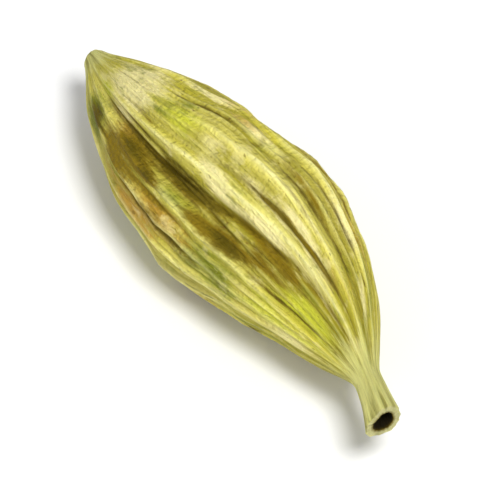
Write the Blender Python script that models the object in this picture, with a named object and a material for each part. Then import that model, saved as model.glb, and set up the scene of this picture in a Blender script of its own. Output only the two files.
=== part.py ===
"""Green cardamom pod: one dried seed capsule, lying on its side.

The capsule, its blunt beak and its cut stalk grew as one piece, so they are one solid. Metres, +Z up.
+X runs along the pod, from the beak to the cut end of the stalk. The origin is under the middle of
the pod's box, on the surface that the pod lies on.

Angles go round the pod's long axis in degrees, from +Y (0) over the top (90) to -Y (180). Places along
the pod are shares of its length, from the beak (0) to the cut end of the stalk (1).
"""

import bmesh
import bpy
import numpy as np

MM = 0.001

# Driving dimensions
LENGTH = 18.0 * MM
LOBE_RADIUS = 2.87 * MM
BEAK_RADIUS = 0.34 * MM
STALK_RADIUS = 0.43 * MM
STALK_FLARE = 0.21 * MM
PIT_RADIUS = 0.36 * MM
PIT_DEPTH = 0.45 * MM
REST_DEPTH = 0.16 * MM

# Outline along the pod: a sine to a power, which changes from the beak to the stalk
CAPSULE_END = 0.92
BEAK_POWER = 0.80
STALK_POWER = 0.86
BEAK_REACH = 0.06
STALK_START = 0.62
BLEND = 3.0

# The pod's long axis bows towards +Y, furthest past its middle
BOW = 0.98 * MM
BOW_POWER = 1.75

# The ribs turn a little about the axis
TWIST = 5.0

# Sunken sides between the three lobes: angle, depth as a share of the lobe radius
SIDES = ((12.0, 0.12), (131.0, 0.14), (263.0, 0.12))
SIDE_WIDTH = 27.0

# Forked furrow in the sunken side that shows: start and end place, start and end angle, depth, width
FURROWS = (
    (0.05, 0.64, 134.0, 139.0, 0.36 * MM, 8.0),
    (0.34, 0.96, 137.0, 102.0, 0.32 * MM, 5.5),
)

# Lengthwise ribs. On the side that shows: angle at the beak and at the stalk, strength. The hidden
# side's are evenly spread.
SHOWN_RIBS = (
    (12.0, 12.0, 0.7),
    (42.0, 28.0, 0.9),
    (70.0, 48.0, 1.1),
    (103.0, 78.0, 1.2),
    (128.0, 99.0, 1.3),
    (140.0, 165.0, 1.0),
    (160.0, 172.0, 0.8),
    (182.0, 186.0, 0.9),
)
HIDDEN_RIBS = 9
HIDDEN_FROM = 201.0
HIDDEN_TO = 354.0
HIDDEN_SHIFT = 4.0
HIDDEN_STRENGTH = 0.8
RIB_HEIGHT = 0.16 * MM
RIB_WIDTH = 4.6
RIB_WANDER = 2.0
RIB_SEED = 7

# Shrunken spots in the skin: place, angle, depth, half length, half angle
HOLLOWS = (
    (0.38, 30.0, 0.24 * MM, 0.06, 24.0),
    (0.27, 90.0, 0.18 * MM, 0.09, 20.0),
    (0.66, 206.0, 0.20 * MM, 0.10, 18.0),
    (0.30, 238.0, 0.16 * MM, 0.08, 16.0),
    (0.60, 322.0, 0.18 * MM, 0.11, 18.0),
)
HOLLOW_SMOOTHS = 0.75

# Rows of seeds press the skin outwards: lobe angle, swellings in the row, share of a swelling at its start
SEED_ROWS = ((70.0, 5.0, 0.15), (197.0, 5.4, 0.55), (320.0, 4.7, 0.30))
SEED_SWELL = 0.06 * MM
SEED_WIDTH = 30.0

# Relief fades with the radius towards both ends
FADE_POWER = 1.15

# Mesh: points round the pod, rings from pole to pole, and those of them outside the pit
SEGMENTS = 128
RINGS = 46
OUTER_RINGS = 41
RING_CROWDING = 0.115


def bell(distance, width):
    return np.exp(-((distance / width) ** 2))


def bell_round(around, angle, width):
    """Bell across the skin at an angle, the short way round. All three are in degrees."""
    return bell((around - angle + 180.0) % 360.0 - 180.0, width)


def outline(share):
    """Radius of the turned outline: a sine to a power for the capsule, blended with beak and stalk."""
    body = np.clip(share / CAPSULE_END, 0.0, 1.0)
    capsule = LOBE_RADIUS * np.sin(np.pi * body) ** (BEAK_POWER + (STALK_POWER - BEAK_POWER) * body)
    rounding = 1.0 - np.clip(share * LENGTH / BEAK_RADIUS, 0.0, 1.0)
    beak = BEAK_RADIUS * np.sqrt(1.0 - rounding**2) * bell(share, BEAK_REACH)
    reach = np.clip((share - STALK_START) / (1.0 - STALK_START), 0.0, 1.0)
    stalk = (STALK_RADIUS + STALK_FLARE * reach**6) * np.sqrt(np.sin(0.5 * np.pi * reach))
    return (capsule**BLEND + beak**BLEND + stalk**BLEND) ** (1.0 / BLEND)


def rib_list():
    """Both angles and strength of every rib. Those of the hidden side are evenly spread, then shifted."""
    draw = np.random.default_rng(RIB_SEED)
    angles = np.linspace(HIDDEN_FROM, HIDDEN_TO, HIDDEN_RIBS)
    angles = angles + draw.uniform(-HIDDEN_SHIFT, HIDDEN_SHIFT, HIDDEN_RIBS)
    return SHOWN_RIBS + tuple((angle, angle, HIDDEN_STRENGTH) for angle in angles)


def ribs(share, around):
    """Height of the ribs: each is a bell across the skin that wanders and swells along the pod."""
    draw = np.random.default_rng(RIB_SEED + 1)
    relief = 0.0
    for beak_angle, stalk_angle, strength in rib_list():
        waves, start, swell_start = draw.uniform((0.5, 0.0, 0.0), (1.3, 1.0, 1.0))
        path = beak_angle + (stalk_angle - beak_angle) * share
        path = path + RIB_WANDER * np.sin(2 * np.pi * (waves * share + start))
        swell = 0.82 + 0.18 * np.sin(2 * np.pi * (1.7 * share + swell_start))
        relief = relief + strength * swell * bell_round(around, path, RIB_WIDTH)
    return RIB_HEIGHT * relief


def furrows(share, around):
    """Depth of the furrows: each is a bell across the skin that deepens and fades like half a sine."""
    relief = 0.0
    for start, end, start_angle, end_angle, depth, width in FURROWS:
        along = np.clip((share - start) / (end - start), 0.0, 1.0)
        path = start_angle + (end_angle - start_angle) * along
        relief = relief + depth * np.sin(np.pi * along) ** 0.7 * bell_round(around, path, width)
    return relief


def skin_relief(share, around):
    """Height of the skin over the turned outline: lobes, ribs, furrows, shrunken spots and seeds."""
    sides = sum(depth * bell_round(around, angle, SIDE_WIDTH) for angle, depth in SIDES)
    smooth = 0.0
    hollows = 0.0
    for place, angle, depth, length, width in HOLLOWS:
        spot = bell(share - place, length) * bell_round(around, angle, width)
        hollows = hollows + depth * spot
        smooth = smooth + HOLLOW_SMOOTHS * spot
    seeds = sum(
        np.cos(2 * np.pi * (swellings * share + start)) * bell_round(around, angle, SEED_WIDTH)
        for angle, swellings, start in SEED_ROWS
    )
    low = LOBE_RADIUS * sides + furrows(share, around) + hollows
    return ribs(share, around) * (1.0 - smooth) + SEED_SWELL * seeds - low


def pod_points(share, closing, around):
    """Points of the skin: the turned radius plus its relief, swept along the bowed axis.

    closing draws a ring in to the axis, from 0 on the outside to 1 in the middle of the pit's floor.
    """
    turned = outline(share)
    skin_angle = np.degrees(around) + TWIST * (share - 0.5)
    relief = skin_relief(share, skin_angle) * np.clip(turned / LOBE_RADIUS, 0.0, 1.0) ** FADE_POWER
    radius = (turned + relief) * (1.0 - closing)
    bow = BOW * np.sin(np.pi * share**BOW_POWER)
    return np.stack((share * LENGTH, bow + radius * np.cos(around), radius * np.sin(around)), axis=-1)


def stations():
    """Place and closing of each ring: along the outside, over the rim, down the pit and across its floor."""
    step = np.linspace(0.0, 1.0, OUTER_RINGS)
    outside = step - RING_CROWDING * np.sin(2 * np.pi * step)
    rim = 1.0 - PIT_RADIUS / (STALK_RADIUS + STALK_FLARE)
    floor = 1.0 - PIT_DEPTH / LENGTH
    inside = ((1.0, 0.4 * rim), (0.998, rim), (floor, rim + 0.1), (floor, 0.8), (floor, 1.0))
    share = np.concatenate((outside, [place for place, closed in inside]))
    closing = np.concatenate((np.zeros(OUTER_RINGS), [closed for place, closed in inside]))
    return share, closing


def sphere_mesh():
    """A sphere with a ring of points for each station. Its top pole becomes the beak."""
    sphere = bmesh.new()
    bmesh.ops.create_uvsphere(sphere, u_segments=SEGMENTS, v_segments=RINGS - 1, radius=1.0)
    mesh = bpy.data.meshes.new("pod")
    sphere.to_mesh(mesh)
    sphere.free()
    return mesh


def shape_pod(mesh):
    """Moves each point of the sphere to its ring's station on the pod, at its own angle."""
    points = np.empty(len(mesh.vertices) * 3)
    mesh.vertices.foreach_get("co", points)
    x, y, z = points.reshape(-1, 3).T
    ring = np.rint(np.arccos(np.clip(z, -1.0, 1.0)) / np.pi * (RINGS - 1)).astype(int)
    share, closing = stations()
    shaped = pod_points(share[ring], closing[ring], -np.arctan2(y, x))
    shaped[:, 2] = np.maximum(shaped[:, 2], shaped[:, 2].min() + REST_DEPTH)
    low = shaped.min(axis=0)
    high = shaped.max(axis=0)
    shaped -= ((low[0] + high[0]) / 2, (low[1] + high[1]) / 2, low[2])
    mesh.vertices.foreach_set("co", shaped.ravel())
    mesh.update()


def husk_material():
    material = bpy.data.materials.new("dried green husk")
    material.use_nodes = True
    shader = material.node_tree.nodes["Principled BSDF"]
    shader.inputs["Base Color"].default_value = (0.50, 0.45, 0.13, 1.0)
    shader.inputs["Roughness"].default_value = 0.6
    shader.inputs["Metallic"].default_value = 0.0
    return material


def main():
    for leftover in list(bpy.data.objects):
        bpy.data.objects.remove(leftover)
    collection = bpy.data.collections.new("green cardamom pod")
    bpy.context.scene.collection.children.link(collection)
    mesh = sphere_mesh()
    shape_pod(mesh)
    mesh.shade_smooth()
    mesh.materials.append(husk_material())
    collection.objects.link(bpy.data.objects.new("pod", mesh))


main()
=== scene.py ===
"""Green cardamom pod: the look of one dried pod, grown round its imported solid.

The husk is one closed skin, worked out with numpy as a function of the place along the pod and the angle
round it. It keeps the solid's form and adds low relief, centred on the solid's skin: crest lines, fine
veins, folds, creases, puckers and wrinkles.

Metres, +Z up. +X runs from the beak to the cut end of the stalk. Angles go round the pod's long axis in
degrees, from +Y (0) over the top (90) to -Y (180). Places along the pod are shares of its length.
"""

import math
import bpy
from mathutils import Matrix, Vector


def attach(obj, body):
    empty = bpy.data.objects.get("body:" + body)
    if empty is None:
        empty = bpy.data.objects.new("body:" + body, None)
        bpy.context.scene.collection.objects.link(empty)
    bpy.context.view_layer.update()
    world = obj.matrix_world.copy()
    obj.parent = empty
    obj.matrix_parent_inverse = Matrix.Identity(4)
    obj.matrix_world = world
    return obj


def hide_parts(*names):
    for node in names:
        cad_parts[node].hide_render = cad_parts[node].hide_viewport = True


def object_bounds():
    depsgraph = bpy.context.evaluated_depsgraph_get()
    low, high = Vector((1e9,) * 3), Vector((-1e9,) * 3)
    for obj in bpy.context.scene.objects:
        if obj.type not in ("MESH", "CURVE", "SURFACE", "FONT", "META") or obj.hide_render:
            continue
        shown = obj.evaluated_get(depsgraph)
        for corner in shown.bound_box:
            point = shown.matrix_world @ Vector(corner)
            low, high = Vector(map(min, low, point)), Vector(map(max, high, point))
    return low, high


bl_info = {
    "name": "Cardamom pod",
    "version": (1, 0, 0),
    "blender": (4, 5, 0),
    "location": "3D View > Sidebar > Cardamom",
    "description": "Grows a dried green cardamom pod and sets it in a plain studio",
    "category": "Object",
}

from types import SimpleNamespace

import bpy
import numpy as np
from bpy.props import FloatProperty, FloatVectorProperty, PointerProperty
from mathutils import Vector

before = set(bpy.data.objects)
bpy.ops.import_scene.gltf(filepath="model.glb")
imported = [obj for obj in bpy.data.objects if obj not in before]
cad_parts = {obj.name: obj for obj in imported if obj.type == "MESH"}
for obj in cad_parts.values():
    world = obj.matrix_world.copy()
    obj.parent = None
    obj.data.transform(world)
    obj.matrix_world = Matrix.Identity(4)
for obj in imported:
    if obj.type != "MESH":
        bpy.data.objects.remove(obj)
CAD_LOW, CAD_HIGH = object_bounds()

MM = 0.001

# Form of the solid
LENGTH = CAD_HIGH.x - CAD_LOW.x
LOBE_RADIUS = 2.87 * MM
BEAK_RADIUS = 0.34 * MM
STALK_RADIUS = 0.43 * MM
STALK_FLARE = 0.21 * MM
PIT_RADIUS = 0.36 * MM
PIT_DEPTH = 0.45 * MM
REST_DEPTH = 0.16 * MM

# Outline along the pod: a sine to a power, which changes from the beak to the stalk
CAPSULE_END = 0.92
BEAK_POWER = 0.80
STALK_POWER = 0.86
BEAK_REACH = 0.06
STALK_START = 0.62
FLARE_POWER = 6
BLEND = 3.0

# The pod's long axis bows towards +Y, furthest past its middle
BOW = 0.98 * MM
BOW_POWER = 1.75

# The ribs turn a little about the axis
TWIST = 5.0

# Sunken sides between the three lobes: angle, depth as a share of the lobe radius
SIDES = ((12.0, 0.12), (131.0, 0.14), (263.0, 0.12))
SIDE_WIDTH = 27.0

# Forked furrow in the sunken side that shows: start and end place, start and end angle, depth, width.
# Each furrow deepens from its ends like half a sine to a power.
FURROWS = (
    (0.05, 0.64, 134.0, 139.0, 0.36 * MM, 8.0),
    (0.34, 0.96, 137.0, 102.0, 0.32 * MM, 5.5),
)
DEEPEST_FURROW = 0.36 * MM
FURROW_POWER = 0.7

# Lengthwise ribs. On the side that shows: angle at the beak and at the stalk, strength. The hidden
# side's are evenly spread, then shifted. Each one wanders in waves, and swells and thins along the pod.
SHOWN_RIBS = (
    (12.0, 12.0, 0.7),
    (42.0, 28.0, 0.9),
    (70.0, 48.0, 1.1),
    (103.0, 78.0, 1.2),
    (128.0, 99.0, 1.3),
    (140.0, 165.0, 1.0),
    (160.0, 172.0, 0.8),
    (182.0, 186.0, 0.9),
)
HIDDEN_RIBS = 9
HIDDEN_FROM = 201.0
HIDDEN_TO = 354.0
HIDDEN_SHIFT = 4.0
HIDDEN_STRENGTH = 0.8
RIB_HEIGHT = 0.16 * MM
RIB_WIDTH = 4.6
RIB_WANDER = 2.0
FEWEST_RIB_WAVES = 0.5
MOST_RIB_WAVES = 1.3
RIB_SWELL = 0.18
RIB_SWELLINGS = 1.7
RIB_SEED = 7

# Shrunken spots in the skin: place, angle, depth, half length, half angle
HOLLOWS = (
    (0.38, 30.0, 0.24 * MM, 0.06, 24.0),
    (0.27, 90.0, 0.18 * MM, 0.09, 20.0),
    (0.66, 206.0, 0.20 * MM, 0.10, 18.0),
    (0.30, 238.0, 0.16 * MM, 0.08, 16.0),
    (0.60, 322.0, 0.18 * MM, 0.11, 18.0),
)
HOLLOW_SMOOTHS = 0.75

# Rows of seeds press the skin outwards: lobe angle, swellings in the row, share of a swelling at its start
SEED_ROWS = ((70.0, 5.0, 0.15), (197.0, 5.4, 0.55), (320.0, 4.7, 0.30))
SEED_SWELL = 0.06 * MM
SEED_WIDTH = 30.0

# Relief fades with the radius towards both ends
FADE_POWER = 1.15

# Pale stretch of each rib: its middle, half length and strength. The hidden side's are drawn between a
# least and a most.
SHOWN_STRETCHES = (
    (0.50, 0.30, 0.6),
    (0.60, 0.25, 0.3),
    (0.60, 0.15, 0.7),
    (0.57, 0.14, 1.1),
    (0.57, 0.24, 1.2),
    (0.58, 0.16, 0.3),
    (0.40, 0.15, 0.6),
    (0.45, 0.30, 0.6),
)
LEAST_STRETCH = (0.3, 0.12, 0.5)
MOST_STRETCH = (0.7, 0.30, 1.0)
STRETCH_SEED = 12

# Sharp line along each rib, which wavers in steps. In the stretch the line is pale, and so are its flanks.
CREST_WIDTH = 1.5
CREST_WANDER = 0.8
CREST_STEPS = 18
LINE_PALENESS = 0.6
FLANK_PALENESS = 0.35
FLANK_WIDTH = 0.7 * RIB_WIDTH

# Sharp fold along the bottom of each furrow, and creases of the skin: as the furrows
FOLD_DEPTH = 0.06 * MM
FOLD_WIDTH = 2.2
SHOWN_CREASES = (
    (0.05, 0.26, 96.0, 98.0, 0.04 * MM, 1.8),
    (0.10, 0.40, 118.0, 110.0, 0.04 * MM, 2.0),
    (0.12, 0.46, 126.0, 127.0, 0.05 * MM, 1.6),
    (0.16, 0.50, 141.0, 141.0, 0.06 * MM, 1.8),
    (0.18, 0.44, 86.0, 75.0, 0.05 * MM, 2.2),
    (0.22, 0.54, 156.0, 158.0, 0.06 * MM, 2.2),
    (0.24, 0.62, 168.0, 172.0, 0.06 * MM, 2.0),
    (0.40, 0.80, 148.0, 150.0, 0.04 * MM, 2.2),
    (0.42, 0.88, 105.0, 90.0, 0.07 * MM, 2.6),
    (0.44, 0.84, 40.0, 36.0, 0.05 * MM, 2.4),
    (0.46, 0.66, 146.0, 142.0, 0.07 * MM, 2.0),
    (0.46, 0.86, 80.0, 68.0, 0.06 * MM, 2.4),
    (0.50, 0.88, 62.0, 54.0, 0.05 * MM, 2.0),
    (0.52, 0.90, 134.0, 122.0, 0.05 * MM, 1.8),
    (0.62, 0.90, 152.0, 148.0, 0.04 * MM, 1.6),
)

# Creases of the hidden side, evenly spread. The least and the most of start, length, turn, depth and width
DEEPEST_CREASE = 0.07 * MM
HIDDEN_CREASES = 12
HIDDEN_CREASES_TO = 372.0
LEAST_CREASE = (0.12, 0.25, -6.0, 0.03 * MM, 1.8)
MOST_CREASE = (0.50, 0.45, 6.0, DEEPEST_CREASE, 2.8)
CREASE_SEED = 23

# Crease across the pod, where the sunken panel near the beak ends: place, half length, angle, half angle.
# Its place wanders.
PANEL_CREASE = (0.437, 0.012, 80.0, 18.0)
PANEL_CREASE_DEPTH = 0.045 * MM
PANEL_CREASE_WANDER = 0.02
PANEL_CREASE_CELLS = (24, 1)
PANEL_CREASE_SEED = 11

# Fine veins between the ribs. The least and the most of middle, half length, strength, waves and the
# start of the waves. Shrunken spots smooth away a share of them.
VEIN_WIDTH = 1.5
VEIN_SPACING = 5.4
VEIN_WANDER = 1.0
LEAST_VEIN = (0.15, 0.16, 0.5, 0.6, 0.0)
MOST_VEIN = (0.85, 0.45, 1.0, 1.8, 1.0)
VEIN_SEED = 31
VEIN_SMOOTHING = 0.5

# Noise of the dry skin: cells round the pod and along it. The least dry skin keeps a share of its wrinkles.
PUCKER_CELLS = (22, 17)
PUCKER_SEED = 5
WRINKLE_CELLS = (96, 15)
WRINKLE_SEED = 6
CRINKLE_CELLS = (84, 66)
CRINKLE_SEED = 7
DRYNESS_CELLS = (9, 8)
DRYNESS_SEED = 8
LEAST_WRINKLE = 0.4

# Fibres of beak and stalk: cells round the pod and along it, depth, reach from the beak, where they start
# along the stalk and how gently, and the share of the way across the cut where they end
STALK_FIBRES = (26, 8)
STALK_FIBRE_DEPTH = 0.040 * MM
BEAK_FIBRE_REACH = 0.05
STALK_FIBRE_START = 0.88
STALK_FIBRE_RISE = 0.015
FIBRE_CLOSING = 0.5
FIBRE_SEED = 9

# The cut: rounding of its edges, its frayed face, and the pit's foot and bowl as shares of radius and depth
RIM_EDGE = 0.05 * MM
CUT_ROUGHNESS = 0.06 * MM
CUT_FIBRES = (44, 30)
CUT_SEED = 10
PIT_FOOT = 0.8
PIT_BOWL = 0.15

# How much of each form goes into the layers that colour the skin; the low forms also paint shade. Grooves are
# fainter near the beak.
CREST_SHARE = 0.35
VEIN_SHARE = 0.40
GROOVE_LESS_RIBS = 1.25
GROOVE_LESS_VEINS = 0.5
GROOVE_LESS_BEAK = 0.8
GROOVE_BEAK_REACH = 0.18
FOLD_SHARE = 0.6
FIBRE_SHARE = 1.6
PALE_BEAK_REACH = 0.07
PALE_STALK = 1.6
PALE_STALK_REACH = 0.13

# Colours of the cut by the share of the way to its middle: how soon each starts, and over what it eases in
CUT_EASE = 0.08
PITH_LEAD = 0.17
PITH_EASE = 0.15
PIT_LEAD = 0.05
PIT_EASE = 0.06

# Coloured patches of the skin, from the lowest to the one on top: place, angle, half length, half angle,
# strength. Each list has the side that shows first, then the hidden side.
# A few patches near the beak, at 157 to 162 degrees, and the dark ones along the furrows are partly painted
# shade
PATCHES = {
    "cream": (
        (0.17, 98.0, 0.08, 32.0, 1.2),
        (0.21, 131.0, 0.03, 5.0, 0.7),
        (0.30, 64.0, 0.07, 5.0, 0.8),
        (0.40, 98.0, 0.05, 8.0, 0.7),
        (0.44, 70.0, 0.06, 6.0, 0.9),
        (0.47, 113.0, 0.05, 5.0, 1.0),
        (0.50, 121.0, 0.05, 5.0, 0.9),
        (0.53, 101.0, 0.04, 5.0, 0.7),
        (0.60, 115.0, 0.06, 4.0, 1.0),
        (0.64, 92.0, 0.06, 3.0, 0.8),
        (0.66, 100.0, 0.10, 14.0, 0.6),
        (0.67, 55.0, 0.07, 6.0, 0.9),
        (0.76, 112.0, 0.05, 4.0, 0.7),
        (0.76, 178.0, 0.08, 13.0, 0.9),
        (0.79, 62.0, 0.05, 5.0, 0.8),
        (0.86, 100.0, 0.04, 14.0, 0.7),
        (0.18, 290.0, 0.08, 26.0, 0.8),
        (0.66, 240.0, 0.10, 12.0, 0.7),
    ),
    "lime": (
        (0.13, 128.0, 0.035, 14.0, 0.8),
        (0.33, 97.0, 0.08, 14.0, 0.8),
        (0.46, 74.0, 0.05, 10.0, 0.5),
        (0.72, 164.0, 0.16, 22.0, 0.65),
        (0.77, 137.0, 0.07, 11.0, 0.95),
        (0.34, 230.0, 0.14, 20.0, 0.9),
        (0.62, 292.0, 0.12, 24.0, 0.8),
    ),
    "green": (
        # Partly the painted shadow of a neighbouring pod, near the beak
        (0.15, 162.0, 0.06, 20.0, 1.1),
        (0.27, 104.0, 0.025, 4.0, 0.7),
        (0.30, 86.0, 0.035, 6.0, 0.8),
        (0.41, 147.0, 0.06, 5.0, 0.9),
        (0.57, 166.0, 0.09, 13.0, 0.95),
        (0.74, 48.0, 0.10, 12.0, 0.6),
        (0.80, 122.0, 0.05, 7.0, 0.5),
        (0.28, 262.0, 0.16, 24.0, 0.8),
        (0.30, 8.0, 0.10, 16.0, 0.6),
        (0.55, 338.0, 0.16, 18.0, 0.8),
        (0.66, 205.0, 0.14, 20.0, 0.7),
    ),
    "tan": (
        (0.25, 140.0, 0.05, 9.0, 1.0),
        (0.35, 61.0, 0.06, 8.0, 0.35),
        (0.35, 178.0, 0.11, 12.0, 0.95),
        (0.40, 69.0, 0.04, 4.0, 0.5),
        (0.43, 161.0, 0.08, 8.0, 1.0),
        (0.66, 42.0, 0.10, 9.0, 0.75),
        (0.76, 84.0, 0.07, 14.0, 0.4),
        (0.40, 312.0, 0.09, 12.0, 0.8),
        (0.48, 224.0, 0.08, 10.0, 0.7),
        (0.72, 262.0, 0.10, 14.0, 0.7),
    ),
    "brown": (
        # Partly the painted shadow of a neighbouring pod, near the beak
        (0.22, 157.0, 0.05, 9.0, 0.8),
        (0.27, 116.0, 0.04, 2.6, 0.6),
        (0.27, 145.0, 0.07, 7.0, 1.0),
        (0.29, 160.0, 0.05, 7.0, 0.8),
        (0.33, 134.0, 0.08, 5.0, 0.85),
        (0.35, 148.0, 0.06, 5.0, 1.0),
        (0.40, 157.0, 0.07, 1.8, 0.9),
        (0.41, 164.0, 0.06, 5.0, 0.8),
        (0.51, 147.0, 0.04, 4.0, 0.8),
        (0.55, 38.0, 0.14, 3.0, 0.6),
        (0.57, 144.0, 0.08, 6.0, 1.0),
        (0.60, 72.0, 0.09, 2.6, 0.9),
        (0.62, 86.0, 0.09, 1.8, 0.6),
        (0.62, 124.0, 0.10, 4.0, 0.8),
        (0.66, 96.0, 0.08, 1.6, 0.7),
        (0.66, 135.0, 0.07, 6.0, 0.8),
        (0.69, 125.0, 0.05, 4.0, 0.8),
        (0.35, 286.0, 0.10, 3.0, 0.6),
        (0.58, 263.0, 0.20, 4.0, 0.8),
    ),
    # Dark patches lay the furrow colour along the furrows: stain and painted shade
    "dark": (
        # Partly the painted shadow of a neighbouring pod, near the beak
        (0.165, 157.0, 0.05, 9.0, 0.85),
        (0.29, 144.0, 0.05, 4.0, 0.75),
        (0.36, 147.0, 0.03, 3.0, 0.8),
        (0.40, 130.0, 0.08, 4.6, 1.0),
        (0.56, 146.0, 0.06, 3.5, 1.0),
    ),
}

# Rings of the skin: outside, round each edge of the cut, across the cut, and down and across the pit
OUTSIDE_ROWS = 206
EDGE_ROWS = 5
CUT_ROWS = 9
WALL_ROWS = 7
FLOOR_ROWS = 6
COLUMNS = 404
ROW_CROWDING = 0.10

# Noises of the husk's material: scale along the pod as a share of that round it, scale per millimetre,
# detail and roughness
NOISES = {
    "blotch": (0.55, 0.42, 2.0, 0.55),
    "mottle": (0.6, 1.5, 4.0, 0.62),
    "weave": (0.22, 2.6, 4.0, 0.7),
    "fibre": (0.10, 4.2, 4.0, 0.65),
    "hair": (0.07, 12.0, 2.0, 0.5),
    "fleck": (0.6, 6.0, 2.0, 0.5),
    "crinkle": (1.3, 4.5, 4.0, 0.62),
}

# How a noise or a layer is eased into a strength: its own low and high, then the strength at each
YELLOW_BLOTCHES = (0.38, 0.62, 0.0, 1.0)
GROOVE_FIBRES = (0.3, 0.7, 0.45, 0.95)
PATCH_STREAKS = (0.3, 0.7, -0.30, 0.30)
PATCH_EDGE = (0.22, 0.95, 0.0, 1.0)
GREEN_MOTTLE = (0.56, 0.70, 0.0, 0.55)
CREAM_MOTTLE = (0.30, 0.44, 0.45, 0.0)
CREST_MOTTLE = (0.25, 0.55, 0.5, 1.0)
FURROW_MOTTLE = (0.25, 0.6, 0.7, 1.15)
FURROW_BROWN = (0.46, 1.00, 0.0, 0.85)
FURROW_DARK = (0.82, 1.05, 0.0, 0.85)
STRAND_MOTTLE = (0.3, 0.6, 0.20, 0.60)
FIBRE_SHADE = (0.3, 0.7, 0.38, 0.58)
HAIR_SHADE = (0.3, 0.7, 0.43, 0.55)
FLECK_SPOTS = (0.68, 0.76, 0.0, 0.6)
ROUGHNESS_BY_CREST = (0.0, 1.0, 0.64, 0.48)

# Gloss of the husk, light that passes under its surface, and bump
SPECULAR = 0.18
SUBSURFACE = 0.08
SUBSURFACE_RADIUS = (1.0, 0.8, 0.25)
SUBSURFACE_SCALE = 0.25 * MM
BUMP_STRENGTH = 0.9
BUMP_DISTANCE = 0.30 * MM
FIBRE_BUMP = 0.9
HAIR_BUMP = 0.35
CRINKLE_BUMP = 0.9

# Sockets of a Mix node for colours, by number, because its sockets for other kinds of mix share their names
MIX_SHARE = 0
MIX_FIRST = 6
MIX_SECOND = 7
MIX_RESULT = 2

# Studio: the floor, the main light, the fill with its share of the main light's power, and the camera
FLOOR_SIDE = 3.0
FLOOR_ROUGHNESS = 0.8
KEY_PLACE = (0.18, -0.01, 0.33)
KEY_SIDE = 0.11
FILL_PLACE = (-0.05, -0.30, 0.20)
FILL_SIDE = 0.30
FILL_SHARE = 0.18
CLIP_START = 0.01
CLIP_END = 10.0


def linear(red, green, blue):
    """Scene colour of a paint given as 0 to 255 on a screen, by the sRGB curve."""
    screen = np.array((red, green, blue)) / 255.0
    return tuple(np.where(screen > 0.04045, ((screen + 0.055) / 1.055) ** 2.4, screen / 12.92))


# Relief: each function takes shares of the length and angles in degrees, as arrays of one shape


def bell(distance, width):
    """Bell: one in the middle, and falls as the exponential of minus the square of distance over width."""
    return np.exp(-((distance / width) ** 2))


def bell_round(around, angle, width):
    """Bell across the skin at an angle, the short way round. All three are in degrees."""
    return bell((around - angle + 180.0) % 360.0 - 180.0, width)


def outline(share):
    """Radius of the turned outline: a sine to a power for the capsule, blended with beak and stalk."""
    body = np.clip(share / CAPSULE_END, 0.0, 1.0)
    capsule = LOBE_RADIUS * np.sin(np.pi * body) ** (BEAK_POWER + (STALK_POWER - BEAK_POWER) * body)
    rounding = 1.0 - np.clip(share * LENGTH / BEAK_RADIUS, 0.0, 1.0)
    beak = BEAK_RADIUS * np.sqrt(1.0 - rounding**2) * bell(share, BEAK_REACH)
    reach = np.clip((share - STALK_START) / (1.0 - STALK_START), 0.0, 1.0)
    stalk = (STALK_RADIUS + STALK_FLARE * reach**FLARE_POWER) * np.sqrt(np.sin(0.5 * np.pi * reach))
    return (capsule**BLEND + beak**BLEND + stalk**BLEND) ** (1.0 / BLEND)


def rib_list():
    """Both angles and strength of every rib. Those of the hidden side are evenly spread, then shifted."""
    draw = np.random.default_rng(RIB_SEED)
    angles = np.linspace(HIDDEN_FROM, HIDDEN_TO, HIDDEN_RIBS)
    angles = angles + draw.uniform(-HIDDEN_SHIFT, HIDDEN_SHIFT, HIDDEN_RIBS)
    return SHOWN_RIBS + tuple((angle, angle, HIDDEN_STRENGTH) for angle in angles)


def stretch_list():
    """Middle, half length and strength of every rib's pale stretch."""
    draw = np.random.default_rng(STRETCH_SEED)
    drawn = draw.uniform(LEAST_STRETCH, MOST_STRETCH, (HIDDEN_RIBS, len(LEAST_STRETCH)))
    return SHOWN_STRETCHES + tuple(map(tuple, drawn))


def ribs(share, around):
    """Broad ribs, the sharp line along each, and their pale stretches.

    Each is a bell across the skin that wanders and swells along the pod. The sharp line also wavers. The
    pale stretch is a bell along the rib.
    """
    draw = np.random.default_rng(RIB_SEED + 1)
    least = (FEWEST_RIB_WAVES, 0.0, 0.0)
    most = (MOST_RIB_WAVES, 1.0, 1.0)
    broad = 0.0
    crest = 0.0
    pale = 0.0
    for seed, (rib, stretch) in enumerate(zip(rib_list(), stretch_list())):
        beak_angle, stalk_angle, strength = rib
        middle, reach, paleness = stretch
        waves, start, swell_start = draw.uniform(least, most)
        path = beak_angle + (stalk_angle - beak_angle) * share
        path = path + RIB_WANDER * np.sin(2 * np.pi * (waves * share + start))
        swell = 1.0 - RIB_SWELL + RIB_SWELL * np.sin(2 * np.pi * (RIB_SWELLINGS * share + swell_start))
        broad = broad + strength * swell * bell_round(around, path, RIB_WIDTH)
        line = path + CREST_WANDER * net_noise(seed, share, around * 0.0, (1, CREST_STEPS))
        crest = crest + strength * swell * bell_round(around, line, CREST_WIDTH)
        flanks = FLANK_PALENESS * bell_round(around, line, FLANK_WIDTH)
        sharp = LINE_PALENESS * bell_round(around, line, CREST_WIDTH)
        pale = pale + paleness * bell(share - middle, reach) * (flanks + sharp)
    return broad, crest, pale


def furrows(share, around, listed):
    """Depth of furrows: each is a bell across the skin, times half a sine to a power along it."""
    relief = 0.0
    for start, end, start_angle, end_angle, depth, width in listed:
        along = np.clip((share - start) / (end - start), 0.0, 1.0)
        path = start_angle + (end_angle - start_angle) * along
        relief = relief + depth * np.sin(np.pi * along) ** FURROW_POWER * bell_round(around, path, width)
    return relief


def fold_list():
    """The sharp folds along the bottoms of the furrows."""
    return tuple((*furrow[:4], FOLD_DEPTH, FOLD_WIDTH) for furrow in FURROWS)


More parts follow.
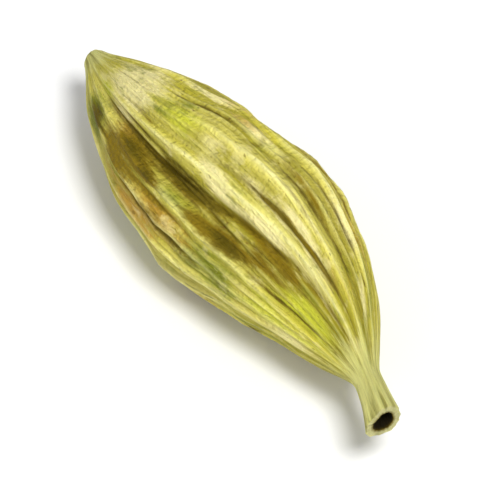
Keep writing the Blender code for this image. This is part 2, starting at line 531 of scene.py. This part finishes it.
def crease_list():
    """The creases of the side that shows, and drawn ones for the hidden side."""
    draw = np.random.default_rng(CREASE_SEED)
    hidden = []
    for angle in np.linspace(HIDDEN_FROM, HIDDEN_CREASES_TO, HIDDEN_CREASES):
        start, length, turn, depth, width = draw.uniform(LEAST_CREASE, MOST_CREASE)
        hidden.append((start, start + length, angle, angle + turn, depth, width))
    return SHOWN_CREASES + tuple(hidden)


def panel_crease(share, around):
    """Depth of the crease at the end of the sunken panel: a bell both ways, whose place wanders."""
    place, length, angle, width = PANEL_CREASE
    wander = net_noise(PANEL_CREASE_SEED, share * 0.0, around, PANEL_CREASE_CELLS)
    place = place + PANEL_CREASE_WANDER * wander
    return PANEL_CREASE_DEPTH * bell(share - place, length) * bell_round(around, angle, width)


def hollows(share, around):
    """Depth of the shrunken spots, and how much each smooths the ribs away: bells both ways."""
    depths = 0.0
    smooth = 0.0
    for place, angle, depth, length, width in HOLLOWS:
        spot = bell(share - place, length) * bell_round(around, angle, width)
        depths = depths + depth * spot
        smooth = smooth + HOLLOW_SMOOTHS * spot
    return depths, smooth


def seeds(share, around):
    """Swellings over the rows of seeds: a cosine along each lobe, as a bell across it."""
    return sum(
        np.cos(2 * np.pi * (swellings * share + start)) * bell_round(around, angle, SEED_WIDTH)
        for angle, swellings, start in SEED_ROWS
    )


def veins(share, around):
    """Fine veins, evenly spread between neighbouring ribs: narrow bells across, long bells along."""
    draw = np.random.default_rng(VEIN_SEED)
    listed = sorted(rib_list())
    first = tuple(value + 360.0 for value in listed[0][:2])
    relief = 0.0
    for rib, following in zip(listed, listed[1:] + [first]):
        gap = 0.5 * (following[0] + following[1] - rib[0] - rib[1])
        count = max(int(gap / VEIN_SPACING), 2)
        for vein in range(1, count):
            middle, reach, strength, waves, start = draw.uniform(LEAST_VEIN, MOST_VEIN)
            left = rib[0] + (rib[1] - rib[0]) * share
            right = following[0] + (following[1] - following[0]) * share
            path = left + (right - left) * vein / count
            path = path + VEIN_WANDER * np.sin(2 * np.pi * (waves * share + start))
            strength = strength * np.sin(np.pi * vein / count)
            relief = relief + strength * bell(share - middle, reach) * bell_round(around, path, VEIN_WIDTH)
    return relief


def net_noise(seed, share, around, cells):
    """Smooth noise from -1 to 1: random heights on a net that closes round the pod, joined by eased steps."""
    count_round, count_along = cells
    heights = np.random.default_rng(seed).uniform(-1.0, 1.0, (count_along + 2, count_round))
    row = np.clip(share, 0.0, 1.0) * count_along
    column = around / 360.0 * count_round
    low_row = np.floor(row).astype(int)
    low_column = np.floor(column).astype(int)
    ease_row = (row - low_row) ** 2 * (3.0 - 2.0 * (row - low_row))
    ease_column = (column - low_column) ** 2 * (3.0 - 2.0 * (column - low_column))
    left = low_column % count_round
    right = (low_column + 1) % count_round
    near = heights[low_row, left] * (1.0 - ease_column) + heights[low_row, right] * ease_column
    far = heights[low_row + 1, left] * (1.0 - ease_column) + heights[low_row + 1, right] * ease_column
    return near * (1.0 - ease_row) + far * ease_row


def ridged_noise(seed, share, around, cells):
    """Noise from -1 to 1 with sharp ridges where the net's noise crosses zero: one less twice its size."""
    return 1.0 - 2.0 * np.abs(net_noise(seed, share, around, cells))


def end_fibres(share, around):
    """Fibres of beak and stalk: noise in long cells, times a bell at the beak plus a step at the stalk."""
    step = 1.0 / (1.0 + np.exp((STALK_FIBRE_START - share) / STALK_FIBRE_RISE))
    return (bell(share, BEAK_FIBRE_REACH) + step) * net_noise(FIBRE_SEED, share, around, STALK_FIBRES)


def patches(share, around, listed):
    """Strength of listed patches, each a bell both ways."""
    return sum(
        strength * bell(share - place, length) * bell_round(around, angle, width)
        for place, angle, length, width, strength in listed
    )


# The skin as a grid: rows along the pod, columns round it


def skin_rows():
    """Share of the length and closing towards the axis for each row of points.

    Rows run along the outside, turn over the rim of the cut, cross the cut, turn into the pit, and go down
    its wall and across its floor, which is a shallow bowl.
    """
    step = np.linspace(0.0, 1.0, OUTSIDE_ROWS)
    outside = (step - ROW_CROWDING * np.sin(2 * np.pi * step)) * (1.0 - RIM_EDGE / LENGTH)
    rim = STALK_RADIUS + STALK_FLARE
    turn = np.linspace(0.0, 0.5 * np.pi, EDGE_ROWS + 1)[1:]
    across = np.linspace(rim - RIM_EDGE, PIT_RADIUS + RIM_EDGE, CUT_ROWS + 1)[1:]
    down = np.linspace(0.0, 1.0, WALL_ROWS + 1)[1:]
    inward = np.linspace(0.0, 1.0, FLOOR_ROWS + 1)[1:]
    wall_foot = PIT_FOOT * PIT_RADIUS
    drops = (
        RIM_EDGE * (1.0 - np.sin(turn)),
        np.zeros(CUT_ROWS),
        RIM_EDGE * (1.0 - np.cos(turn)),
        RIM_EDGE + (PIT_DEPTH - RIM_EDGE) * down,
        PIT_DEPTH * (1.0 + PIT_BOWL * np.sin(0.5 * np.pi * inward)),
    )
    radii = (
        rim - RIM_EDGE * (1.0 - np.cos(turn)),
        across,
        PIT_RADIUS + RIM_EDGE * (1.0 - np.sin(turn)),
        PIT_RADIUS + (wall_foot - PIT_RADIUS) * down,
        wall_foot * (1.0 - inward),
    )
    share = np.concatenate((outside, 1.0 - np.concatenate(drops) / LENGTH))
    closing = np.concatenate((np.zeros(OUTSIDE_ROWS), 1.0 - np.concatenate(radii) / rim))
    return share, closing


def skin_points(share, closing, around, relief, unfaded=0.0):
    """Points of the skin: the turned radius plus its relief, swept along the bowed axis."""
    turned = outline(share)
    fade = np.clip(turned / LOBE_RADIUS, 0.0, 1.0) ** FADE_POWER
    radius = (turned + relief * fade + unfaded) * (1.0 - closing)
    bow = BOW * np.sin(np.pi * share**BOW_POWER)
    angle = np.radians(around)
    return np.stack((share * LENGTH, bow + radius * np.cos(angle), radius * np.sin(angle)), axis=-1)


def laid_down(points, resting_on):
    """Points moved as the solid was: centred over the origin, and raised to its flat spot where lower."""
    floor = resting_on[..., 2].min() + REST_DEPTH
    low = resting_on.min(axis=(0, 1))
    high = resting_on.max(axis=(0, 1))
    points = points - np.array(((low[0] + high[0]) / 2, (low[1] + high[1]) / 2, floor))
    points[..., 2] = np.maximum(points[..., 2], 0.0)
    return points


def grown_relief(settings, share, around):
    """Reliefs of the skin by name: the solid's form, the fine relief centred on it, and their parts.

    In the form, ribs and seeds stand out, and sunken sides, furrows and shrunken spots go in. In the fine
    relief, crest lines and veins stand out, noise goes both ways, and folds and creases go in.
    """
    broad, crest, pale = ribs(share, around)
    furrow = furrows(share, around, FURROWS)
    hollow, smooth = hollows(share, around)
    side = sum(depth * bell_round(around, angle, SIDE_WIDTH) for angle, depth in SIDES)
    form = RIB_HEIGHT * broad * (1.0 - smooth) + SEED_SWELL * seeds(share, around)
    form = form - LOBE_RADIUS * side - furrow - hollow

    vein = veins(share, around)
    fold = furrows(share, around, fold_list())
    crease = furrows(share, around, crease_list()) + panel_crease(share, around)
    pucker = net_noise(PUCKER_SEED, share, around, PUCKER_CELLS)
    wrinkle = ridged_noise(WRINKLE_SEED, share, around, WRINKLE_CELLS)
    crinkle = ridged_noise(CRINKLE_SEED, share, around, CRINKLE_CELLS)
    dryness = 0.5 + 0.5 * net_noise(DRYNESS_SEED, share, around, DRYNESS_CELLS)
    fine = settings.crest_height * crest * (1.0 - smooth)
    fine = fine + settings.vein_height * vein * (1.0 - VEIN_SMOOTHING * smooth)
    fine = fine + settings.pucker_depth * pucker - fold - crease
    fine = fine + settings.wrinkle_depth * wrinkle * (LEAST_WRINKLE + (1.0 - LEAST_WRINKLE) * dryness)
    fine = fine + settings.crinkle_depth * crinkle * dryness
    fine = fine - fine.mean()
    return SimpleNamespace(
        form=form, fine=fine, broad=broad, crest=crest, pale=pale, smooth=smooth, furrow=furrow, vein=vein,
        fold=fold, crease=crease,
    )


def fibre_fade(closing):
    """One outside, and falls evenly to none part of the way across the cut."""
    return np.clip(1.0 - closing / FIBRE_CLOSING, 0.0, 1.0)


def colour_layers(relief, fibres, share, closing, around):
    """Layers from 0 to 1 that colour the skin: sums of its reliefs, bells at its ends, bands of its cut.
    Those of the low places also paint shade there.
    """
    ribbed = 1.0 - relief.smooth
    low = 1.0 - GROOVE_LESS_RIBS * relief.broad - GROOVE_LESS_VEINS * relief.vein
    past_beak = 1.0 - GROOVE_LESS_BEAK * bell(share, GROOVE_BEAK_REACH)
    pit_edge = 1.0 - PIT_RADIUS / (STALK_RADIUS + STALK_FLARE)
    layers = {
        "crest": CREST_SHARE * relief.crest * ribbed + relief.pale + VEIN_SHARE * relief.vein,
        # groove: greener skin and painted shade in the low skin between the ribs
        "groove": low * ribbed * past_beak,
        # crease: painted shade and dirt in the creases and folds, by their depth
        "crease": (relief.crease + FOLD_SHARE * relief.fold) / DEEPEST_CREASE,
        # furrow: brown stain and painted shade, deepening with the furrow's depth
        "furrow": relief.furrow / DEEPEST_FURROW,
        "ends": bell(share, PALE_BEAK_REACH) + PALE_STALK * bell(share - 1.0, PALE_STALK_REACH),
        "strand": np.minimum(-FIBRE_SHARE * fibres, 1.0) * fibre_fade(closing),
        "cut": closing / CUT_EASE,
        "pith": (closing - pit_edge + PITH_LEAD) / PITH_EASE,
        # pit: nearly black, painted shade in the hollow over its dark inside
        "pit": (closing - pit_edge + PIT_LEAD) / PIT_EASE,
    }
    for name, listed in PATCHES.items():
        layers[name] = patches(share, around, listed)
    return {name: np.clip(values, 0.0, 1.0) for name, values in layers.items()}


def skin(settings):
    """Points of the whole skin, the layers that colour it, and the grain that the material's noises follow.

    All are on a grid of rows along the pod and columns round it. The grain is each point's place on a plain
    straight tube, in millimetres.
    """
    share, closing = (values[:, None] for values in skin_rows())
    around = np.arange(COLUMNS) * 360.0 / COLUMNS
    share, closing, around = (np.array(grid) for grid in np.broadcast_arrays(share, closing, around[None]))
    turned = around + TWIST * (share - 0.5)
    relief = grown_relief(settings, share, turned)

    fibres = end_fibres(share, turned)
    stringy = STALK_FIBRE_DEPTH * fibres * fibre_fade(closing)
    stringy = stringy * np.minimum(share * LENGTH / BEAK_RADIUS, 1.0)
    frayed = 0.5 + 0.5 * net_noise(CUT_SEED, closing, turned, CUT_FIBRES)
    cut_back = np.where(closing > 0.0, CUT_ROUGHNESS / LENGTH * frayed * (1.0 - closing), 0.0)
    plain = skin_points(share, closing, around, relief.form)
    grown = skin_points(share - cut_back, closing, around, relief.form + relief.fine, stringy)

    layers = colour_layers(relief, fibres, share, closing, turned)
    angle = np.radians(turned)
    tube = np.stack((LOBE_RADIUS * np.cos(angle), LOBE_RADIUS * np.sin(angle), share * LENGTH), axis=-1)
    return laid_down(grown, plain), layers, tube / MM


def closed_surface(name, points, layers, grain):
    """A closed mesh of a grid whose first and last rows are single points.

    Fans join those to the rows next to them, and quads join the others. Layers and grain become attributes.
    """
    rows, columns = points.shape[:2]
    kept = [0, *range(columns, (rows - 1) * columns), (rows - 1) * columns]
    index = 1 + np.arange((rows - 2) * columns).reshape(rows - 2, columns)
    beside = np.roll(index, -1, axis=1)
    last = np.full(columns, len(kept) - 1)
    first_fan = np.stack((np.zeros(columns, int), beside[0], index[0]), axis=-1)
    quads = np.stack((index[:-1], beside[:-1], beside[1:], index[1:]), axis=-1).reshape(-1, 4)
    last_fan = np.stack((index[-1], beside[-1], last), axis=-1)
    mesh = bpy.data.meshes.new(name)
    faces = first_fan.tolist() + quads.tolist() + last_fan.tolist()
    mesh.from_pydata(points.reshape(-1, 3)[kept].tolist(), [], faces)

    column = np.arange(columns) / columns
    beyond = column + 1.0 / columns
    between = column + 0.5 / columns
    down = np.arange(rows) / (rows - 1)
    top = np.zeros(columns)
    below_top = np.full(columns, down[1])
    first_map = np.stack((between, top, beyond, below_top, column, below_top), axis=-1)
    left, low = np.broadcast_arrays(column[None], down[1:-2, None])
    right, high = np.broadcast_arrays(beyond[None], down[2:-1, None])
    quad_map = np.stack((left, low, right, low, right, high, left, high), axis=-1)
    bottom = np.ones(columns)
    above_bottom = np.full(columns, down[-2])
    last_map = np.stack((column, above_bottom, beyond, above_bottom, between, bottom), axis=-1)
    uv = mesh.uv_layers.new(name="skin")
    uv.data.foreach_set("uv", np.concatenate((first_map.ravel(), quad_map.ravel(), last_map.ravel())))

    for layer, values in layers.items():
        attribute = mesh.attributes.new(layer, "FLOAT", "POINT")
        attribute.data.foreach_set("value", values.ravel()[kept].astype(np.float32))
    attribute = mesh.attributes.new("grain", "FLOAT_VECTOR", "POINT")
    attribute.data.foreach_set("vector", grain.reshape(-1, 3)[kept].astype(np.float32).ravel())
    mesh.shade_smooth()
    return mesh


# Materials


def add_node(tree, kind, inputs=(), **settings):
    """Adds a node, sets its properties, and fills its inputs with values or with sockets to link."""
    node = tree.nodes.new(kind)
    for name, value in settings.items():
        setattr(node, name, value)
    for name, value in dict(inputs).items():
        if isinstance(value, bpy.types.NodeSocket):
            tree.links.new(value, node.inputs[name])
        else:
            node.inputs[name].default_value = value
    return node


def layer_value(tree, name):
    """The value of one of the skin's layers."""
    return add_node(tree, "ShaderNodeAttribute", attribute_name=name).outputs["Fac"]


def reckon(tree, operation, first, second, clamp=False):
    """Result of a maths node."""
    node = add_node(tree, "ShaderNodeMath", {0: first, 1: second}, operation=operation, use_clamp=clamp)
    return node.outputs["Value"]


def mixed(tree, share, first, second, blend="MIX"):
    """Colour between two colours, or one laid over the other by a blend mode."""
    inputs = {MIX_SHARE: share, MIX_FIRST: first, MIX_SECOND: second}
    node = add_node(tree, "ShaderNodeMix", inputs, data_type="RGBA", blend_type=blend)
    return node.outputs[MIX_RESULT]


def ranged(tree, value, low, high, to_low, to_high):
    """Value eased from one range to another by a smooth step."""
    inputs = {"Value": value, "From Min": low, "From Max": high, "To Min": to_low, "To Max": to_high}
    node = add_node(tree, "ShaderNodeMapRange", inputs, interpolation_type="SMOOTHSTEP")
    return node.outputs["Result"]


def noise(tree, place, along, scale, detail, roughness):
    """Noise on a place whose last axis, along the pod, is scaled first."""
    stretched = add_node(tree, "ShaderNodeMapping", {"Vector": place, "Scale": (1.0, 1.0, along)})
    inputs = {"Vector": stretched.outputs["Vector"], "Scale": scale, "Detail": detail, "Roughness": roughness}
    return add_node(tree, "ShaderNodeTexNoise", inputs).outputs["Fac"]


def laid_over(tree, colour, layer, weave, paint):
    """Colour with a layer's paint over it, which breaks up into streaks where the layer is weak."""
    streaks = ranged(tree, weave, *PATCH_STREAKS)
    share = ranged(tree, reckon(tree, "ADD", layer_value(tree, layer), streaks), *PATCH_EDGE)
    return mixed(tree, share, colour, paint)


def broken_up(tree, layer, grain, strengths):
    """A layer that a noise strengthens and weakens."""
    return reckon(tree, "MULTIPLY", layer_value(tree, layer), ranged(tree, grain, *strengths), True)


def husk_colour(tree, noises, crest, colours):
    """Colour of the skin, from the flat skin up to what lies on it, with painted shade in grooves, creases,
    furrows and the pit.
    """
    mottle = noises.mottle
    colour = mixed(tree, ranged(tree, noises.blotch, *YELLOW_BLOTCHES), colours.straw, colours.yellow)
    # Olive between the ribs: greener skin and painted shade, strongest in the lowest skin
    colour = mixed(tree, broken_up(tree, "groove", noises.fibre, GROOVE_FIBRES), colour, colours.groove)
    for layer in ("cream", "lime", "green", "tan"):
        colour = laid_over(tree, colour, layer, noises.weave, getattr(colours, layer))
    colour = mixed(tree, ranged(tree, mottle, *GREEN_MOTTLE), colour, colours.green)
    colour = mixed(tree, ranged(tree, mottle, *CREAM_MOTTLE), colour, colours.cream)
    colour = mixed(tree, crest, colour, colours.crest)
    # Crease colour: painted shade and dirt in the creases and folds
    colour = laid_over(tree, colour, "crease", noises.weave, colours.crease)
    # Brown, then dark, deepening with the furrow's depth: brown stain and painted shade
    furrow = broken_up(tree, "furrow", mottle, FURROW_MOTTLE)
    colour = mixed(tree, ranged(tree, furrow, *FURROW_BROWN), colour, colours.brown)
    colour = laid_over(tree, colour, "brown", noises.weave, colours.brown)
    # Dark patches along the furrows: stain and painted shade
    colour = laid_over(tree, colour, "dark", noises.weave, colours.furrow)
    colour = mixed(tree, ranged(tree, furrow, *FURROW_DARK), colour, colours.furrow)
    colour = laid_over(tree, colour, "ends", noises.weave, colours.ends)
    colour = mixed(tree, broken_up(tree, "strand", mottle, STRAND_MOTTLE), colour, colours.groove)
    colour = mixed(tree, layer_value(tree, "cut"), colour, colours.cut)
    colour = mixed(tree, layer_value(tree, "pith"), colour, colours.brown)
    # Nearly black pit: painted shade in the hollow over its dark inside
    colour = mixed(tree, layer_value(tree, "pit"), colour, colours.pit)

    # Fibres darken and lighten the colour, and a few flecks are brown
    hairs = ranged(tree, noises.hair, *HAIR_SHADE)
    streak = reckon(tree, "ADD", ranged(tree, noises.fibre, *FIBRE_SHADE), hairs)
    grey = add_node(tree, "ShaderNodeCombineColor", {"Red": streak, "Green": streak, "Blue": streak})
    colour = mixed(tree, 1.0, colour, grey.outputs["Color"], "MULTIPLY")
    return mixed(tree, ranged(tree, noises.fleck, *FLECK_SPOTS), colour, colours.fleck)


def husk_material(colours):
    """Dried papery husk: pale crests, olive grooves, dark furrows, green and tan patches and fibres. Grooves,
    creases, furrows and the pit carry painted shade over their own darker colour.

    Its noises are broad blotches, mottling, a weave that breaks up patches, fibres and hairs along the
    skin, dry flecks, and crinkles.
    """
    material = bpy.data.materials.new("dried green husk")
    material.use_nodes = True
    tree = material.node_tree
    shader = tree.nodes["Principled BSDF"]
    place = add_node(tree, "ShaderNodeAttribute", attribute_name="grain").outputs["Vector"]
    noises = SimpleNamespace(**{name: noise(tree, place, *values) for name, values in NOISES.items()})
    crest = broken_up(tree, "crest", noises.mottle, CREST_MOTTLE)
    tree.links.new(husk_colour(tree, noises, crest, colours), shader.inputs["Base Color"])

    # Crests are polished by handling, grooves stay dull
    roughness = ranged(tree, crest, *ROUGHNESS_BY_CREST)
    tree.links.new(roughness, shader.inputs["Roughness"])
    shader.inputs["Specular IOR Level"].default_value = SPECULAR
    shader.inputs["Subsurface Weight"].default_value = SUBSURFACE
    shader.inputs["Subsurface Radius"].default_value = SUBSURFACE_RADIUS
    shader.inputs["Subsurface Scale"].default_value = SUBSURFACE_SCALE

    # Bump of fibres and dry skin, finer than the mesh
    fibres = reckon(tree, "MULTIPLY", noises.fibre, FIBRE_BUMP)
    height = reckon(tree, "ADD", fibres, reckon(tree, "MULTIPLY", noises.hair, HAIR_BUMP))
    height = reckon(tree, "ADD", height, reckon(tree, "MULTIPLY", noises.crinkle, CRINKLE_BUMP))
    inputs = {"Strength": BUMP_STRENGTH, "Distance": BUMP_DISTANCE, "Height": height}
    bump = add_node(tree, "ShaderNodeBump", inputs)
    tree.links.new(bump.outputs["Normal"], shader.inputs["Normal"])
    return material


def floor_material(colour):
    """Dull, even studio floor."""
    material = bpy.data.materials.new("studio floor")
    material.use_nodes = True
    shader = material.node_tree.nodes["Principled BSDF"]
    shader.inputs["Base Color"].default_value = (*colour, 1.0)
    shader.inputs["Roughness"].default_value = FLOOR_ROUGHNESS
    return material


# Settings


def height_setting(name, description, default):
    """A height or depth that a user can change."""
    return FloatProperty(
        name=name, description=description, default=default, min=0.0, unit="LENGTH", precision=5
    )


def colour_setting(name, description, screen):
    """A colour that a user can change. Its default is given as 0 to 255 on a screen."""
    default = (*linear(*screen), 1.0)
    return FloatVectorProperty(
        name=name, description=description, default=default, subtype="COLOR", size=4, min=0.0, max=1.0
    )


class HuskSettings(bpy.types.PropertyGroup):
    """Heights and depths of the low relief"""

    crest_height: height_setting("Crests", "Height of the sharp line along each rib", 0.055 * MM)
    vein_height: height_setting("Veins", "Height of the fine veins between the ribs", 0.135 * MM)
    pucker_depth: height_setting("Puckers", "Depth of the soft dents in the dry skin", 0.045 * MM)
    wrinkle_depth: height_setting("Wrinkles", "Depth of the lengthwise wrinkles in the dry skin", 0.055 * MM)
    crinkle_depth: height_setting("Crinkles", "Depth of the finest wrinkles in the dry skin", 0.020 * MM)


class HuskColours(bpy.types.PropertyGroup):
    """Colours of the husk and of its cut"""

    straw: colour_setting("Straw", "Palest skin between the ribs", (230, 219, 104))
    yellow: colour_setting("Yellow", "Yellower skin between the ribs", (222, 212, 72))
    # Groove colour: greener skin and painted shade between the ribs; it also colours the stalk's fibres
    groove: colour_setting("Groove", "Low skin between the ribs", (146, 134, 24))
    cream: colour_setting("Cream", "Patches that dried pale", (255, 243, 168))
    lime: colour_setting("Lime", "Bright yellow-green patches", (214, 214, 62))
    green: colour_setting("Green", "Patches that kept their green", (132, 138, 20))
    tan: colour_setting("Tan", "Patches that dried brown", (192, 150, 46))
    crest: colour_setting("Crest", "Raised lines of the ribs", (255, 247, 162))
    # Crease colour: painted shade and dirt at the bottom of the creases
    crease: colour_setting("Crease", "Bottom of the creases", (114, 98, 18))
    # Brown: stain on the furrows' sides, with painted shade that deepens with the furrow; also brown patches
    # and the pith
    brown: colour_setting("Brown", "Sides of the furrows", (136, 114, 14))
    # Furrow colour: dark stain and painted shade at the bottom of the furrows
    furrow: colour_setting("Furrow", "Bottom of the furrows", (98, 84, 0))
    ends: colour_setting("Ends", "Beak and stalk", (255, 251, 154))
    cut: colour_setting("Cut", "Cut face of the stalk", (246, 240, 168))
    # Pit colour: painted shade in the hollow over its dark inside
    pit: colour_setting("Pit", "Hollow in the cut", (36, 28, 4))
    fleck: colour_setting("Fleck", "Small dry flecks", (120, 92, 34))


class StudioSettings(bpy.types.PropertyGroup):
    """Camera, lights and floor"""

    azimuth: FloatProperty(
        name="Azimuth",
        description="Camera's bearing round the pod",
        default=math.radians(59.0),
        subtype="ANGLE",
    )
    elevation: FloatProperty(
        name="Elevation",
        description="Camera's height above the horizon",
        default=math.radians(49.0),
        subtype="ANGLE",
    )
    distance: FloatProperty(
        name="Distance", description="From the camera to the pod", default=0.30, min=0.05, unit="LENGTH"
    )
    margin: FloatProperty(
        name="Margin", description="Frame's side over the pod's longer side in view", default=1.24, min=1.0
    )
    key_power: FloatProperty(
        name="Main light", description="Power of the main light", default=1.30, min=0.0, unit="POWER"
    )
    sky: FloatProperty(
        name="Sky", description="Strength of the light from all round", default=0.42, min=0.0
    )
    floor_colour: FloatVectorProperty(
        name="Floor",
        description="Colour of the floor",
        default=(0.86, 0.86, 0.86),
        subtype="COLOR",
        min=0.0,
        max=1.0,
    )


# Operators


class CARDAMOM_OT_grow_husk(bpy.types.Operator):
    """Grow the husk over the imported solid, which it replaces"""

    bl_idname = "cardamom.grow_husk"
    bl_label = "Grow husk"

    def execute(self, context):
        points, layers, grain = skin(context.scene.cardamom_husk)
        mesh = closed_surface("husk", points, layers, grain)
        mesh.materials.append(husk_material(context.scene.cardamom_colours))
        husk = bpy.data.objects.new("husk", mesh)
        context.scene.collection.objects.link(husk)
        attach(husk, "root")
        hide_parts("pod")
        return {"FINISHED"}


class CARDAMOM_OT_set_studio(bpy.types.Operator):
    """Add the floor, the lights and the camera"""

    bl_idname = "cardamom.set_studio"
    bl_label = "Set studio"

    def execute(self, context):
        studio = context.scene.cardamom_studio
        add_floor(context, studio)
        add_lights(context, studio)
        add_camera(context, studio)
        context.scene.view_settings.view_transform = "Standard"
        return {"FINISHED"}


# Studio


def add_floor(context, studio):
    """A square floor, level with the surface that the pod lies on."""
    half = FLOOR_SIDE / 2
    corners = [(-half, -half, 0.0), (half, -half, 0.0), (half, half, 0.0), (-half, half, 0.0)]
    mesh = bpy.data.meshes.new("floor")
    mesh.from_pydata(corners, [], [(0, 1, 2, 3)])
    mesh.materials.append(floor_material(studio.floor_colour))
    floor = bpy.data.objects.new("floor", mesh)
    context.scene.collection.objects.link(floor)


def add_area_light(context, name, place, side, power):
    """A square light that faces the pod."""
    lamp = bpy.data.lights.new(name, "AREA")
    lamp.size = side
    lamp.energy = power
    light = bpy.data.objects.new(name, lamp)
    light.location = place
    light.rotation_euler = (-Vector(place)).to_track_quat("-Z", "Y").to_euler()
    context.scene.collection.objects.link(light)


def add_lights(context, studio):
    """Soft main light from behind and above the camera, weak fill from its left, and an even sky."""
    add_area_light(context, "key", KEY_PLACE, KEY_SIDE, studio.key_power)
    add_area_light(context, "fill", FILL_PLACE, FILL_SIDE, studio.key_power * FILL_SHARE)
    world = bpy.data.worlds.new("sky")
    world.use_nodes = True
    background = world.node_tree.nodes["Background"]
    background.inputs["Color"].default_value = (1.0, 1.0, 1.0, 1.0)
    background.inputs["Strength"].default_value = studio.sky
    context.scene.world = world


def add_camera(context, studio):
    """A camera at the photograph's angle, whose lens takes in the whole husk with a margin."""
    back = Vector(
        (
            math.sin(studio.azimuth) * math.cos(studio.elevation),
            -math.cos(studio.azimuth) * math.cos(studio.elevation),
            math.sin(studio.elevation),
        )
    )
    turn = (-back).to_track_quat("-Z", "Y")
    right = turn @ Vector((1.0, 0.0, 0.0))
    up = turn @ Vector((0.0, 1.0, 0.0))
    seen = [(right.dot(v.co), up.dot(v.co)) for v in bpy.data.objects["husk"].data.vertices]
    low = np.min(seen, axis=0)
    high = np.max(seen, axis=0)
    middle = (low + high) / 2
    target = right * middle[0] + up * middle[1] + back * (CAD_LOW + CAD_HIGH).dot(back) / 2
    lens = bpy.data.cameras.new("camera")
    lens.lens = lens.sensor_width * studio.distance / (max(high - low) * studio.margin)
    lens.clip_start = CLIP_START
    lens.clip_end = CLIP_END
    camera = bpy.data.objects.new("camera", lens)
    camera.location = target + back * studio.distance
    camera.rotation_euler = turn.to_euler()
    context.scene.collection.objects.link(camera)
    context.scene.camera = camera


# Panel


class CARDAMOM_PT_sidebar(bpy.types.Panel):
    """Lists the steps that make the pod, with their settings"""

    bl_idname = "CARDAMOM_PT_sidebar"
    bl_label = "Cardamom pod"
    bl_space_type = "VIEW_3D"
    bl_region_type = "UI"
    bl_category = "Cardamom"

    def draw(self, context):
        scene = context.scene
        for operator, groups in STEPS:
            box = self.layout.box()
            box.operator(operator)
            for group in groups:
                settings = getattr(scene, group)
                for name in settings.__annotations__:
                    box.prop(settings, name)


# Operators with their settings, and all classes
STEPS = (
    ("cardamom.grow_husk", ("cardamom_husk", "cardamom_colours")),
    ("cardamom.set_studio", ("cardamom_studio",)),
)
CLASSES = (
    HuskSettings,
    HuskColours,
    StudioSettings,
    CARDAMOM_OT_grow_husk,
    CARDAMOM_OT_set_studio,
    CARDAMOM_PT_sidebar,
)


def register():
    """Registers the classes and hangs their settings on the scene."""
    for cls in CLASSES:
        bpy.utils.register_class(cls)
    bpy.types.Scene.cardamom_husk = PointerProperty(type=HuskSettings)
    bpy.types.Scene.cardamom_colours = PointerProperty(type=HuskColours)
    bpy.types.Scene.cardamom_studio = PointerProperty(type=StudioSettings)


def unregister():
    """Takes the settings and the classes away again."""
    del bpy.types.Scene.cardamom_studio
    del bpy.types.Scene.cardamom_colours
    del bpy.types.Scene.cardamom_husk
    for cls in reversed(CLASSES):
        bpy.utils.unregister_class(cls)


def main():
    """Grows the pod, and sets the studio."""
    register()
    bpy.ops.cardamom.grow_husk()
    bpy.ops.cardamom.set_studio()


if __name__ == "__main__":
    main()
